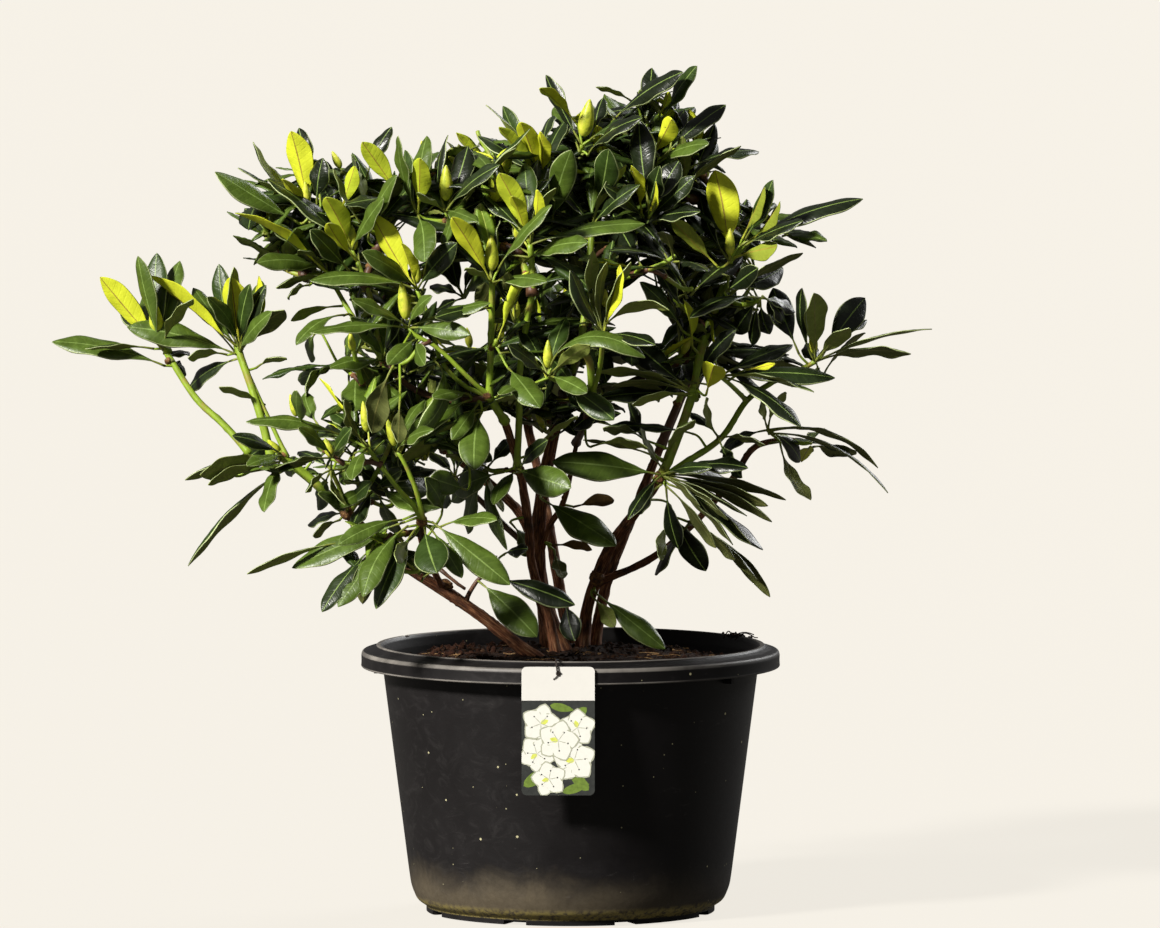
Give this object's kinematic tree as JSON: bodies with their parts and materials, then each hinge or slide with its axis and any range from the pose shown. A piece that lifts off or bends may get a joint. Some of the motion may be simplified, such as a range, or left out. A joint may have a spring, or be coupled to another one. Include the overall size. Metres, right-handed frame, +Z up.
{
  "type": "potted rhododendron",
  "caption": "Evergreen shrub with whorls of long glossy leaves on bare forked stems, in a wide low black nursery pot with a hang label that bears no lettering.",
  "frame": {"origin": "centre of the pot's flat underside", "axes": "+Z up, -Y towards the front where the label hangs, +X to the right seen from the front"},
  "size_m": [0.879, 0.72, 0.8487],
  "materials": {
    "container": "satin black moulded plastic, dusty towards the foot",
    "peat": "rough crumbly peat",
    "bark": "thin ridged red-brown bark",
    "green_shoot": "smooth young green wood",
    "leaves": "leathery glossy leaf",
    "card": "printed plastic card",
    "strap": "thin black plastic strap"
  },
  "bodies": {
    "root": {"pot": "container", "soil": "peat", "label": "card", "label_tie": "strap", "stem_left": "bark", "stem_front": "bark", "stem_middle": "bark", "stem_back_left": "bark", "stem_right": "bark", "stem_back_right": "bark", "stem_back": "bark", "stem_slim": "bark", "bough_low_front": "bark", "bough_side_right": "bark", "bough_left": "green_shoot", "bough_far_left_upper": "green_shoot", "bough_far_left_lower": "green_shoot", "bough_right_upper": "green_shoot", "bough_slim_right": "green_shoot", "leaves_far_left": "leaves", "leaves_upper_left": "leaves", "leaves_mid_left": "leaves", "leaves_lower_left": "leaves", "leaves_low_front": "leaves", "leaves_left_core": "leaves", "leaves_top_left": "leaves", "leaves_front": "leaves", "leaves_core": "leaves", "leaves_front_right": "leaves", "leaves_centre_low": "leaves", "leaves_top": "leaves", "leaves_mid_right": "leaves", "leaves_upper_right": "leaves", "leaves_far_right": "leaves", "leaves_right_low": "leaves", "leaves_low_right": "leaves", "leaves_low_spray": "leaves", "leaves_back_left": "leaves", "leaves_back_top": "leaves", "leaves_back": "leaves", "leaves_back_right": "leaves", "leaves_back_low_left": "leaves", "leaves_back_low_right": "leaves"}
  },
  "joints": []
}
